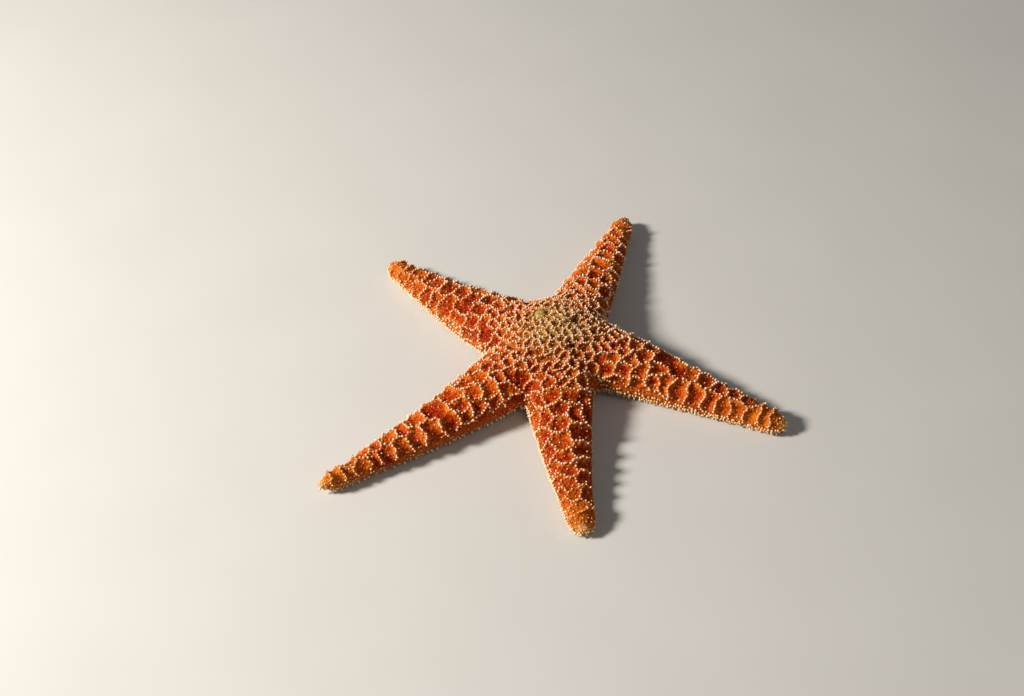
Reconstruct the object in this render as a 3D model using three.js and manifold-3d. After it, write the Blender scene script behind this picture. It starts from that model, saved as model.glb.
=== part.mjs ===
// Ochre sea star at life size, lying on a level floor with its arms spread.
// Millimetres, +Z up, floor at z = 0, origin under the middle of the star's box.
// The surfaces are those that the tips of its short spines reach.
import * as THREE from 'three';
import { mergeVertices } from 'three/addons/utils/BufferGeometryUtils.js';
import Module from 'manifold-3d';

const wasm = await Module();
wasm.setup();

// ---- Driving dimensions ----

const DISC_CENTRE = new THREE.Vector2(-0.4, 2.3);  // middle of the disc
const GAP = 0.3;                                   // clearance between pieces that meet

const DISC = {
  radius: 25.5,        // of the dome at its widest ring
  top: 25,
  roundness: 2.4,      // power of the dome's profile, 2 is an ellipse
  waist: 7,            // height of the widest ring
  edge: 34,            // radius at which the arms part from the disc
  edgeSides: 44,
  profileSteps: 8,     // rings over the dome, from its widest to its top
  sides: 32,
  soleRings: [0.45, 0.9],              // shares of the radius
  rim: { width: 0.97, height: 0.35 },  // corner between sole and widest ring, as shares
  bossRise: 0.5,       // of low bosses, set in rings and rays over the dome
  bossFade: 4,         // height above the widest ring at which they are full
  bossRings: 3.5,
  bossRays: 15,
};

// heading: degrees from +X; reach: from the disc's middle to the tip;
// bow: sideways bend to the left of the heading, greatest at bowAt of the reach;
// root and tip: half widths that the taper runs between;
// lift: height of the sole at the very tip.
const ARMS = [
  { name: 'arm_1', heading: 69.2, reach: 94, bow: -1.6, bowAt: 0.4, root: 17.7, tip: 4.5, lift: 0 },
  { name: 'arm_2', heading: 142.9, reach: 94.5, bow: 3.6, bowAt: 0.4, root: 21.2, tip: 4.4, lift: 0 },
  { name: 'arm_3', heading: 217.6, reach: 117.5, bow: 2.4, bowAt: 0.5, root: 18.4, tip: 3.4, lift: 1.5 },
  { name: 'arm_4', heading: 276.9, reach: 93.5, bow: -1.8, bowAt: 0.5, root: 19.3, tip: 5.3, lift: 0 },
  { name: 'arm_5', heading: 337.2, reach: 102, bow: 3.0, bowAt: 0.35, root: 19.2, tip: 4.8, lift: 1 },
];

const ARM = {
  rootTop: 25.3,       // height of the crown at the disc's middle
  tipTop: 9.5,         // height of the crown just short of the tip
  slope: 1.4,          // power of the crown's fall from root to tip
  waist: 0.36,         // share of the height at which an arm is widest
  roundness: 2.25,     // power of the section's curve
  tuck: 1.25,          // depth that the flank curves towards, in heights of the waist
  nose: 7,             // length of the rounded end
  noseRings: [0.5, 0.1],
  start: 17,           // distance from the disc's middle at which the solids begin
  ribs: 13,            // transverse ridges along an arm
  ribRise: 1.1,        // from a furrow's bottom to a ridge's top
  ribSink: 0.6,        // share of that rise that lies below the plain section
  ribFlank: 0.45,      // ridges fade out over this share of the height above the waist
  ribTip: 0.12,        // and over this share of the reach before the tip
  ribStagger: 1 / 3,   // shift between left and right ridges, in ridge spacings
  ribCrowding: 0.3,    // loss of ridge spacing by halfway along the arm
  ringsPerRib: 3,
  crownSteps: 10,      // facets over the upper half of a section
  flankPoint: 0.55,    // drop from waist to sole at which the flank has a corner
};

const ARCH = { height: 4.5, span: 50 };            // hollow under the middle of the star
const LIFT_FROM = 0.8;                             // share of the reach at which a lift begins
const GROOVE = { start: 4, rootHalf: 2.6, tipHalf: 1.1, rootDepth: 4, tipDepth: 1.8, rings: 7 };
const TALL = 60;                                   // size of cutters, clear of the star
const TIP_PLATE = 4;                               // length of the plate that ends each arm
const SIEVE = {
  radius: 2.4,
  height: 2.6,
  crown: 0.6,          // height of the domed top
  furrows: 8,
  sides: 24,           // a multiple of the furrows
  furrowDepth: 0.25,
  from: 9,             // the disc's middle, along its heading
  heading: 135,
};
const MOUTH = {
  radius: 7,
  depth: 4.2,
  opening: 2.1,
  jaws: 5,
  sides: 20,           // a multiple of the jaws
  jawNotch: 1.3,
  thickness: 3.2,
  bevel: 0.4,
};

const ORANGE = { color: 0xc85a1c, roughness: 0.62, metalness: 0 };
const OLIVE_TAN = { color: 0xa8763a, roughness: 0.66, metalness: 0 };
const PALE_YELLOW = { color: 0xdcb676, roughness: 0.58, metalness: 0 };
const SIEVE_YELLOW = { color: 0xc2a760, roughness: 0.7, metalness: 0 };
const JAW_CREAM = { color: 0xd8b78c, roughness: 0.6, metalness: 0 };

// ---- Shape helpers ----

const clamp01 = (x) => Math.min(Math.max(x, 0), 1);
const signedPower = (x, power) => Math.sign(x) * Math.abs(x) ** power;
const underside = (distance) => ARCH.height * clamp01(1 - distance / ARCH.span) ** 2;
const soleUnder = (arm, along) => underside(along)
  + arm.lift * clamp01((along / arm.reach - LIFT_FROM) / (1 - LIFT_FROM)) ** 2;

// Width of a rounded profile at a share of its height, both from 0 to 1.
const profileWidth = (height, roundness) => (1 - height ** roundness) ** (1 / roundness);

// Closed surface through rings of equally many points, with a fan over each end.
function loft(rings) {
  const size = rings[0].length;
  const centreOf = (ring) => ring
    .reduce((sum, point) => sum.add(point), new THREE.Vector3())
    .divideScalar(ring.length);
  const points = [...rings.flat(), centreOf(rings[0]), centreOf(rings.at(-1))];
  const first = points.length - 2;
  const last = points.length - 1;
  const end = (rings.length - 1) * size;
  const faces = [];
  for (let i = 0; i < size; i += 1) {
    const next = (i + 1) % size;
    for (let row = 0; row < end; row += size) {
      faces.push(row + i, row + size + i, row + size + next);
      faces.push(row + i, row + size + next, row + next);
    }
    faces.push(first, i, next);
    faces.push(last, end + next, end + i);
  }
  const geometry = new THREE.BufferGeometry().setFromPoints(points);
  geometry.setIndex(faces);
  return geometry;
}

function toSolid(geometry) {
  const bare = geometry.clone();
  bare.deleteAttribute('normal');
  bare.deleteAttribute('uv');
  const merged = mergeVertices(bare, 1e-4);
  const vertProperties = new Float32Array(merged.attributes.position.array);
  const triVerts = new Uint32Array(merged.index.array);
  return new wasm.Manifold(new wasm.Mesh({ numProp: 3, vertProperties, triVerts }));
}

function toGeometry(solid) {
  const { vertProperties, triVerts } = solid.getMesh();
  const geometry = new THREE.BufferGeometry();
  geometry.setAttribute('position', new THREE.BufferAttribute(vertProperties, 3));
  geometry.setIndex(new THREE.BufferAttribute(triVerts, 1));
  return geometry;
}

// ---- Arms ----

// Point beside an arm: along its heading, to the left of its bowed midline, and up.
function besideArm(arm, along, left, up) {
  const angle = THREE.MathUtils.degToRad(arm.heading);
  const bend = Math.log(0.5) / Math.log(arm.bowAt);
  const side = left + arm.bow * Math.sin(Math.PI * clamp01(along / arm.reach) ** bend);
  return new THREE.Vector3(
    along * Math.cos(angle) - side * Math.sin(angle),
    along * Math.sin(angle) + side * Math.cos(angle),
    up,
  );
}

// Ridges are counted from the disc's middle and stand closer together towards the tip.
const ridgePlace = (share) => {
  const crowd = ARM.ribCrowding;
  return ARM.ribs * ((1 - crowd) * share + crowd * share * share);
};
const shareAt = (place) => {
  const crowd = ARM.ribCrowding;
  return (Math.sqrt((1 - crowd) ** 2 + 4 * crowd * (place / ARM.ribs)) - 1 + crowd) / (2 * crowd);
};

// Rise of the ridges at a point of the section, given by its angle from the left flank.
function ribRise(share, angle) {
  const stagger = Math.cos(angle) > 0 ? ARM.ribStagger : 0;
  const wave = 0.5 + 0.5 * Math.cos(2 * Math.PI * (ridgePlace(share) - stagger));
  const offFlank = clamp01(Math.sin(angle) / ARM.ribFlank);
  const offTip = clamp01((1 - share) / ARM.ribTip);
  return ARM.ribRise * (wave - ARM.ribSink) * offFlank * offTip;
}

function armSection(arm, along) {
  const share = along / arm.reach;
  const nose = Math.sqrt(1 - clamp01((along - arm.reach + ARM.nose) / ARM.nose) ** 2);
  const half = THREE.MathUtils.lerp(arm.root, arm.tip, share);
  const sole = soleUnder(arm, along);
  const top = ARM.tipTop + (ARM.rootTop - ARM.tipTop) * (1 - share) ** ARM.slope;
  const waist = sole + ARM.waist * (top - sole);
  const place = (left, up) => besideArm(arm, along, nose * left, waist + nose * up);
  const flank = (side, drop) => place(
    side * half * profileWidth(drop / ARM.tuck, ARM.roundness),
    drop * (sole - waist),
  );

  const ring = [flank(-1, 1), flank(-1, ARM.flankPoint)];
  for (let i = 0; i <= ARM.crownSteps; i += 1) {
    const angle = Math.PI * (1 - i / ARM.crownSteps);
    const rise = ribRise(share, angle);
    const left = signedPower(Math.cos(angle), 2 / ARM.roundness) * (half + rise);
    const up = signedPower(Math.sin(angle), 2 / ARM.roundness) * (top - waist + rise);
    ring.push(place(left, up));
  }
  ring.push(flank(1, ARM.flankPoint), flank(1, 1));
  return ring;
}

function armSolid(arm) {
  const count = ARM.ribs * ARM.ringsPerRib;
  const firstPlace = ridgePlace(ARM.start / arm.reach);
  const rings = [armSection(arm, ARM.start)];
  for (let i = Math.ceil(firstPlace * ARM.ringsPerRib); i < count; i += 1) {
    rings.push(armSection(arm, arm.reach * shareAt(i / ARM.ringsPerRib)));
  }
  const rest = arm.reach * (1 - shareAt((count - 1) / ARM.ringsPerRib));
  ARM.noseRings.forEach((share) => rings.push(armSection(arm, arm.reach - rest * share)));
  return toSolid(loft(rings));
}

// Wedge cut along the middle of an arm's underside, from the mouth to near the tip.
function grooveSolid(arm) {
  const below = 1;  // start of the cut under the sole
  const rings = [];
  for (let i = 0; i <= GROOVE.rings; i += 1) {
    const share = i / GROOVE.rings;
    const along = THREE.MathUtils.lerp(GROOVE.start, arm.reach - ARM.nose / 2, share);
    const depth = THREE.MathUtils.lerp(GROOVE.rootDepth, GROOVE.tipDepth, share);
    const half = THREE.MathUtils.lerp(GROOVE.rootHalf, GROOVE.tipHalf, share);
    const lipHalf = half * (depth + below) / depth;
    rings.push([
      besideArm(arm, along, -lipHalf, soleUnder(arm, along) - below),
      besideArm(arm, along, 0, soleUnder(arm, along) + depth),
      besideArm(arm, along, lipHalf, soleUnder(arm, along) - below),
    ]);
  }
  return toSolid(loft(rings));
}

// Everything further along an arm than a distance, square to its heading.
function beyond(arm, along) {
  const geometry = new THREE.BoxGeometry(TALL, TALL, TALL);
  geometry.translate(along + TALL / 2, 0, 0);
  geometry.rotateZ(THREE.MathUtils.degToRad(arm.heading));
  return toSolid(geometry);
}

// ---- Disc, mouth and sieve plate ----

// Dome whose upper side carries low bosses in rings and rays.
function domeSolid() {
  const profile = [new THREE.Vector2(0, underside(0))];
  DISC.soleRings.forEach((share) => {
    profile.push(new THREE.Vector2(share * DISC.radius, underside(share * DISC.radius)));
  });
  const rim = DISC.rim.width * DISC.radius;
  const rimHeight = THREE.MathUtils.lerp(underside(rim), DISC.waist, DISC.rim.height);
  profile.push(new THREE.Vector2(rim, rimHeight));
  for (let i = 0; i <= DISC.profileSteps; i += 1) {
    const angle = (Math.PI / 2) * (i / DISC.profileSteps);
    const power = 2 / DISC.roundness;
    const width = i < DISC.profileSteps ? DISC.radius * Math.cos(angle) ** power : 0;
    profile.push(new THREE.Vector2(
      width,
      DISC.waist + (DISC.top - DISC.waist) * Math.sin(angle) ** power,
    ));
  }
  const geometry = new THREE.LatheGeometry(profile, DISC.sides);
  geometry.rotateX(Math.PI / 2);
  const spot = new THREE.Vector3();
  const { position } = geometry.attributes;
  for (let i = 0; i < position.count; i += 1) {
    spot.fromBufferAttribute(position, i);
    const share = Math.hypot(spot.x, spot.y) / DISC.radius;
    const rings = Math.cos(2 * Math.PI * DISC.bossRings * share);
    const rays = Math.cos(DISC.bossRays * Math.atan2(spot.y, spot.x));
    const fade = clamp01((spot.z - DISC.waist) / DISC.bossFade) * clamp01(DISC.bossFade * share);
    position.setZ(i, spot.z + DISC.bossRise * rings * rays * fade);
  }
  return toSolid(geometry);
}

// Upright round cutter about a point of the floor plan.
function upright(radius, low, high, sides, at = new THREE.Vector2()) {
  const geometry = new THREE.CylinderGeometry(radius, radius, high - low, sides);
  geometry.rotateX(Math.PI / 2);
  geometry.translate(at.x, at.y, (low + high) / 2);
  return toSolid(geometry);
}

// Ring of jaws around the mouth. Their points lie between the notches in the opening.
function mouthFrame() {
  const outer = MOUTH.radius - GAP;
  const shape = new THREE.Shape();
  const hole = new THREE.Path();
  for (let i = 0; i <= MOUTH.sides; i += 1) {
    const angle = 2 * Math.PI * (i / MOUTH.sides);
    const turn = angle - THREE.MathUtils.degToRad(ARMS[0].heading);
    const inner = MOUTH.opening + MOUTH.jawNotch * (0.5 + 0.5 * Math.cos(MOUTH.jaws * turn));
    const add = i === 0 ? 'moveTo' : 'lineTo';
    shape[add](outer * Math.cos(angle), outer * Math.sin(angle));
    hole[add](inner * Math.cos(angle), inner * Math.sin(angle));
  }
  shape.holes.push(hole);
  const { bevel } = MOUTH;
  const geometry = new THREE.ExtrudeGeometry(shape, {
    depth: MOUTH.thickness - 2 * bevel,
    bevelThickness: bevel,
    bevelSize: bevel,
    bevelOffset: -bevel,
    bevelSegments: 1,
  });
  geometry.translate(0, 0, underside(0) + MOUTH.depth - GAP - MOUTH.thickness + bevel);
  return geometry;
}

// Low round plate with furrows that run out from its middle.
function sievePlate(base) {
  const rings = [];
  const radius = SIEVE.radius - GAP;
  const levels = [
    { share: 1, up: 0, furrow: 0 },
    { share: 1, up: SIEVE.height - SIEVE.crown, furrow: 0.3 },
    { share: 0.8, up: SIEVE.height - 0.3 * SIEVE.crown, furrow: 1 },
    { share: 0.45, up: SIEVE.height, furrow: 1 },
    { share: 0.15, up: SIEVE.height - 0.2 * SIEVE.crown, furrow: 0 },
  ];
  levels.forEach(({ share, up, furrow }) => {
    const ring = [];
    for (let i = 0; i < SIEVE.sides; i += 1) {
      const angle = 2 * Math.PI * (i / SIEVE.sides);
      const cut = SIEVE.furrowDepth * furrow * (1 - Math.cos(SIEVE.furrows * angle)) / 2;
      ring.push(new THREE.Vector3(
        radius * share * Math.cos(angle),
        radius * share * Math.sin(angle),
        up - cut,
      ));
    }
    rings.push(ring.reverse());
  });
  const geometry = loft(rings);
  geometry.translate(0, 0, base);
  return geometry;
}

// ---- Assembly ----

const star = new THREE.Group();
star.position.set(DISC_CENTRE.x, DISC_CENTRE.y, 0);

function addPiece(name, geometry, finish) {
  const shown = geometry.index ? geometry.toNonIndexed() : geometry;
  shown.computeVertexNormals();
  const mesh = new THREE.Mesh(shown, new THREE.MeshStandardMaterial(finish));
  mesh.name = name;
  star.add(mesh);
}

const grooves = ARMS.map(grooveSolid).reduce((sum, solid) => sum.add(solid));
const arms = ARMS.map(armSolid);
const body = arms.reduce((sum, solid) => sum.add(solid), domeSolid()).subtract(grooves);

const sieveTurn = THREE.MathUtils.degToRad(SIEVE.heading);
const sieveAt = new THREE.Vector2(SIEVE.from, 0).rotateAround(new THREE.Vector2(), sieveTurn);
const sieveTop = DISC.waist
  + (DISC.top - DISC.waist) * profileWidth(SIEVE.from / DISC.radius, DISC.roundness);
const sieveFloor = sieveTop - SIEVE.height;
const mouthTop = underside(0) + MOUTH.depth;

const disc = body
  .intersect(upright(DISC.edge, -TALL, TALL, DISC.edgeSides))
  .subtract(upright(MOUTH.radius, -TALL, mouthTop, MOUTH.sides))
  .subtract(upright(SIEVE.radius, sieveFloor, TALL, SIEVE.sides, sieveAt));
addPiece('disc', toGeometry(disc), OLIVE_TAN);
addPiece('mouth_frame', mouthFrame(), JAW_CREAM);

const plate = sievePlate(sieveFloor + GAP);
plate.translate(sieveAt.x, sieveAt.y, 0);
addPiece('madreporite', plate, SIEVE_YELLOW);

const outside = upright(DISC.edge + GAP, -TALL, TALL, DISC.edgeSides);
ARMS.forEach((arm, index) => {
  const limb = arms[index].subtract(grooves).subtract(outside);
  const cut = arm.reach - TIP_PLATE;
  addPiece(arm.name, toGeometry(limb.subtract(beyond(arm, cut - GAP))), ORANGE);
  addPiece(`${arm.name}_tip`, toGeometry(limb.intersect(beyond(arm, cut))), PALE_YELLOW);
});

export default star;
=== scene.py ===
import math

import bpy
import numpy as np
from mathutils import Matrix, Vector
from mathutils.kdtree import KDTree


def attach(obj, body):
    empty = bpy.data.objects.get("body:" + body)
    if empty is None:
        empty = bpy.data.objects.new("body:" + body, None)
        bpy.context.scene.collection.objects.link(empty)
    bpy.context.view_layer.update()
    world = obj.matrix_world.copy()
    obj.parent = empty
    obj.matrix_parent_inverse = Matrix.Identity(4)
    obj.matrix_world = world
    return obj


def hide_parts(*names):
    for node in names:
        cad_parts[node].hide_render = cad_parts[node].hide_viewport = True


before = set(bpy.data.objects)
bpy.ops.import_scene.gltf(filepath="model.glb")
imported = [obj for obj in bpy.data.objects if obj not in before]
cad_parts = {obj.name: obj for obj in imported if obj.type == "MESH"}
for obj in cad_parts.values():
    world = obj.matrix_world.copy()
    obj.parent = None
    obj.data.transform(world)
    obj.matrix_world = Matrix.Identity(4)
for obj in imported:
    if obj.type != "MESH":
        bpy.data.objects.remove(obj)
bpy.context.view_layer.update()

# ---- Sizes of the star, the same as its solids ----

MM = 0.001
DISC_CENTRE = np.array([-0.4, 2.3, 0.0])
DISC_RADIUS = 25.5
DISC_TOP = 25.0
DISC_ROUND = 2.4
DISC_WAIST = 7.0
ROOT_TOP = 25.3
TIP_TOP = 9.5
SLOPE = 1.4
ARM_WAIST = 0.36
ARM_ROUND = 2.25
TUCK = 1.25
NOSE = 7.0
ARCH_HEIGHT = 4.5
ARCH_SPAN = 50.0
LIFT_FROM = 0.8        # share of the reach at which a lifted tip begins to rise
GROOVE_START = 4.0
GROOVE_HALF = (2.6, 1.1)
GROOVE_DEPTH = (4.0, 1.8)
MOUTH_RADIUS = 7.0
MOUTH_DEPTH = 4.2

# lift: height of the sole at the very tip.
# columns: places across the crown, from -1 at the right flank to 1 at the left, each with
# the share of a row that its meshes of the net are shifted along the arm, and the share of
# the reach at which it ends.
# rows: how many rows of meshes count from the disc's middle to the tip, and how much closer
# they stand towards the tip, more than 0.
# net: height on the right and the left flank at which the net ends, 0 at the waist, 1 on top.
# margin: how full the rows of spines along the right and the left flank are.
ARMS = {
    "arm_1": dict(heading=69.2, reach=94.0, bow=-1.6, bow_at=0.4, root=17.7, tip=4.5, lift=0.0,
                  columns=((-0.66, 0.0, 0.85), (-0.05, 0.5, 1.0), (0.56, 0.1, 0.9)),
                  rows=(13, 0.3), net=(0.1, 0.0), margin=(0.5, 0.8)),
    "arm_2": dict(heading=142.9, reach=94.5, bow=3.6, bow_at=0.4, root=21.2, tip=4.4, lift=0.0,
                  columns=((-0.62, 0.5, 0.85), (-0.05, 0.2, 1.0), (0.5, 0.0, 0.92)),
                  rows=(14, 0.3), net=(0.2, -0.05), margin=(0.6, 1.0)),
    "arm_3": dict(heading=217.6, reach=117.5, bow=2.4, bow_at=0.5, root=18.4, tip=3.4, lift=1.5,
                  columns=((-0.78, 0.1, 0.8), (-0.2, 0.5, 0.9), (0.42, 0.0, 1.0)),
                  rows=(14, 0.75), net=(0.1, 0.25), margin=(0.6, 0.28)),
    "arm_4": dict(heading=276.9, reach=93.5, bow=-1.8, bow_at=0.5, root=19.3, tip=5.3, lift=0.0,
                  columns=((-0.66, 0.5, 0.9), (-0.12, 0.0, 1.0), (0.42, 0.35, 0.85)),
                  rows=(9.5, 1.3), net=(-0.1, 0.45), margin=(1.0, 0.45)),
    "arm_5": dict(heading=337.2, reach=102.0, bow=3.0, bow_at=0.35, root=19.2, tip=4.8, lift=1.0,
                  columns=((-0.42, 0.33, 1.0), (0.12, 0.0, 0.88), (0.64, 0.5, 0.84)),
                  rows=(13, 0.65), net=(0.2, 0.1), margin=(0.9, 0.6)),
}

# ---- Sizes of the skin, its net and its spines ----

SKIN_SINK = 1.35       # from the solids' plain surface down to the middle of the relief
TIP_SINK = 0.75        # the same at the tips of the arms
SOLE_SINK = 0.9        # the same under the sole, where the spines stand on the floor
NET_RISE = 2.1         # from the bottom of a mesh of the net to the top of its ridges
NET_BASE = 0.64        # share of that rise that lies below the skin's plain surface
CREST = 1.15           # half width of a ridge's crest
SHOULDER = 3.1         # half width of its foot
FINE_NET = 0.68        # width and height of the disc's ridges as a share of the arms'
WEAK_RIDGES = 0.07     # share of the ridges that are nearly missing, away from the tips
SKIN_STEP = 1.05       # spacing of the first surface grid
DISC_MESH = (3.4, 5.0) # spacing of the net at the disc's middle and where the arms begin
DISC_NET = 31.0        # radius at which the disc's round net gives way to the arms' rows
DENSE_GAP = 4.8        # between the dense rows where an arm begins
DENSE_ARM = 0.45       # share of an arm from which its meshes are wide
NET_SEED = 41
SPINE_TALL = 0.95      # height of a spine, before its own scale
FOOT_TALL = 3.0        # the same of a tube foot
POCKETS = ((8.7, 2.1, 2.3), (7.1, -10.8, 1.8))   # hollows of the disc, painted dark as shadow: place and radius
RIDGE_GAP = 1.08       # between spines along the ridges of the arms
DISC_GAP = 0.64        # the same on the disc
FLANK_ROWS = (         # place around the arm, gap along the row, share of it left bare
    (1.76, 1.1, 0.03),
    (1.54, 1.1, 0.04),
    (1.31, 1.1, 0.08),
    (1.11, 0.95, 0.04),
    (0.97, 0.95, 0.1),
    (0.82, 2.0, 0.5),
)
GROOVE_ROWS = (        # past the groove's edge, gap along the row, lean, girth, length
    (0.75, 0.85, 0.9, 0.5, 2.3),
    (1.6, 1.1, 0.1, 0.8, 1.9),
)
FOOT_ROWS = ((0.25, 0.8), (0.68, 0.5))   # share of the groove's half width, and of its depth
FOOT_GAP = 1.75
JAW_SPINES = ((2.7, 0.24, 3), (3.9, 0.26, 4), (5.2, 0.24, 4))   # radius, spread, count
SIEVE_RADIUS = 2.45
SIEVE_AWAY = 9.0
SIEVE_HEADING = 135.0
CAMERA_TILT = 47.0
CAMERA_AWAY = 0.6
IMAGE_WIDTH = 1024     # dots across the rendered image
CAMERA_SENSOR = 36.0
CAMERA_FOCAL = 1400.0  # in dots of that image
CAMERA_ASIDE = 43.0    # dots from the image's middle to the disc's middle
CAMERA_ABOVE = 14.0

rng = np.random.default_rng(NET_SEED)


def clamp01(x):
    return np.clip(x, 0.0, 1.0)


def smooth(low, high, x):
    t = clamp01((x - low) / (high - low))
    return t * t * (3 - 2 * t)


def mix(a, b, share):
    return a + (b - a) * share


def unit(vectors):
    return vectors / np.maximum(np.linalg.norm(vectors, axis=-1, keepdims=True), 1e-9)


# ---- The form of the body ----

def underside(distance):
    """Height of the sole: the star arches a little under its middle."""
    return ARCH_HEIGHT * clamp01(1 - distance / ARCH_SPAN) ** 2


def sole_under(arm, along):
    """Height of the sole along an arm, whose tip may be lifted."""
    lift = clamp01((along / arm["reach"] - LIFT_FROM) / (1 - LIFT_FROM)) ** 2
    return underside(along) + arm["lift"] * lift


def arm_axes(arm):
    """Unit vectors on the floor, along an arm and to its left."""
    angle = math.radians(arm["heading"])
    forward = np.array([math.cos(angle), math.sin(angle)])
    return forward, np.array([-forward[1], forward[0]])


def arm_bow(arm, share):
    """How far an arm's midline bends to the left at a share of its reach."""
    power = math.log(0.5) / math.log(arm["bow_at"])
    return arm["bow"] * np.sin(np.pi * clamp01(share) ** power)


def arm_place(arm, points):
    """Distance along an arm, and to the left of its bowed midline."""
    forward, left = arm_axes(arm)
    along = points[..., :2] @ forward
    return along, points[..., :2] @ left - arm_bow(arm, along / arm["reach"])


def arm_section(arm, along):
    """Half width, sole, waist, top and end rounding of an arm at a distance along it."""
    share = clamp01(along / arm["reach"])
    nose = np.sqrt(1 - clamp01((along - arm["reach"] + NOSE) / NOSE) ** 2)
    half = mix(arm["root"], arm["tip"], share)
    sole = sole_under(arm, along)
    top = TIP_TOP + (ROOT_TOP - TIP_TOP) * (1 - share) ** SLOPE
    return half, sole, sole + ARM_WAIST * (top - sole), top, nose


def round_depth(across, up, power):
    """Depth below a rounded section of half width 1 by 1 when scaled by the two radii."""
    (side, half), (height, radius) = across, up
    a = np.abs(side) / half
    b = np.abs(height) / radius
    q = np.maximum((a ** power + b ** power) ** (1 / power), 1e-3)
    slope = q ** (1 - power) * np.hypot(a ** (power - 1) / half, b ** (power - 1) / radius)
    return (1 - q) / np.maximum(slope, 0.6 / np.maximum(half, radius))


def arm_depth(arm, points):
    """Depth of points inside an arm's plain form, and their height over its sole."""
    along, side = arm_place(arm, points)
    half, sole, waist, top, nose = arm_section(arm, along)
    side = np.where(along < 0, np.hypot(side, along), side)
    rise = points[..., 2] - waist
    half = np.maximum(half * nose, 0.3)
    radius = np.where(rise > 0, top - waist, TUCK * (waist - sole)) * np.maximum(nose, 0.02)
    depth = round_depth((side, half), (rise, radius), ARM_ROUND)
    floor = points[..., 2] - waist + (waist - sole) * nose
    away = np.sqrt((along - arm["reach"]) ** 2 + side ** 2 + rise ** 2)
    return np.where(along > arm["reach"], -away, depth), floor


def dome_depth(points):
    """Depth of points inside the disc's plain form."""
    radius = np.hypot(points[..., 0], points[..., 1])
    sole = underside(radius)
    rise = points[..., 2] - DISC_WAIST
    height = np.where(rise > 0, DISC_TOP - DISC_WAIST, TUCK * (DISC_WAIST - sole))
    return round_depth((radius, DISC_RADIUS), (rise, height), DISC_ROUND)


def blend_max(a, b, width):
    """The larger of two values, rounded off where they are within a width of each other."""
    h = clamp01(0.5 + 0.5 * (a - b) / width)
    return mix(b, a, h) + width * h * (1 - h)


def groove_depth(arm, points):
    """How far a point lies inside the open groove under an arm."""
    along, side = arm_place(arm, points)
    share = clamp01((along - GROOVE_START) / (arm["reach"] - NOSE / 2 - GROOVE_START))
    depth = mix(*GROOVE_DEPTH, share)
    rise = points[..., 2] - sole_under(arm, along)
    wall = mix(*GROOVE_HALF, share) * (1 - rise / depth) + 0.4 - np.abs(side)
    ends = np.minimum(along - GROOVE_START, arm["reach"] - NOSE / 2 - along)
    return np.minimum(wall, ends)


def body_depth(points):
    """Signed depth below the skin, before the net's relief."""
    radius = np.hypot(points[..., 0], points[..., 1])
    depth = dome_depth(points) - SKIN_SINK
    sole = points[..., 2] - underside(radius)
    melt = 0.4 + mix(4.6, 0.9, smooth(8.0, 19.0, points[..., 2])) * smooth(8.0, 20.0, radius)
    for arm in ARMS.values():
        inside, floor = arm_depth(arm, points)
        share = arm_place(arm, points)[0] / arm["reach"]
        sink = mix(SKIN_SINK, TIP_SINK, smooth(0.8, 1.0, share))
        depth = blend_max(depth, inside - sink, melt)
        floor = mix(sole, floor, smooth(0.3, 0.7, share))
        sole = np.where(inside > -3.0, np.minimum(sole, floor), sole)
    depth = -blend_max(-depth, SOLE_SINK - sole, 1.2)
    for arm in ARMS.values():
        depth = -blend_max(-depth, groove_depth(arm, points), 0.8)
    bowl = 1 - np.hypot(radius / (MOUTH_RADIUS - 0.5),
                        (points[..., 2] - underside(0.0)) / MOUTH_DEPTH)
    return -blend_max(-depth, bowl * MOUTH_DEPTH, 0.8)


def outward(points, reach=0.25):
    """Unit normals of the body's surfaces."""
    slope = np.empty_like(points)
    for axis in range(3):
        step = np.zeros(3)
        step[axis] = reach
        slope[..., axis] = body_depth(points - step) - body_depth(points + step)
    return slope / (2 * reach)


def settle(points, rounds=2):
    """Moves points onto the skin's plain surface."""
    for _ in range(rounds):
        slope = outward(points)
        size = np.maximum(np.sum(slope * slope, axis=-1, keepdims=True), 0.2)
        step = body_depth(points)[..., None] * slope / size
        points = points + np.clip(step, -1.0, 1.0)
    return points


# ---- Grid of the skin ----

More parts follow.
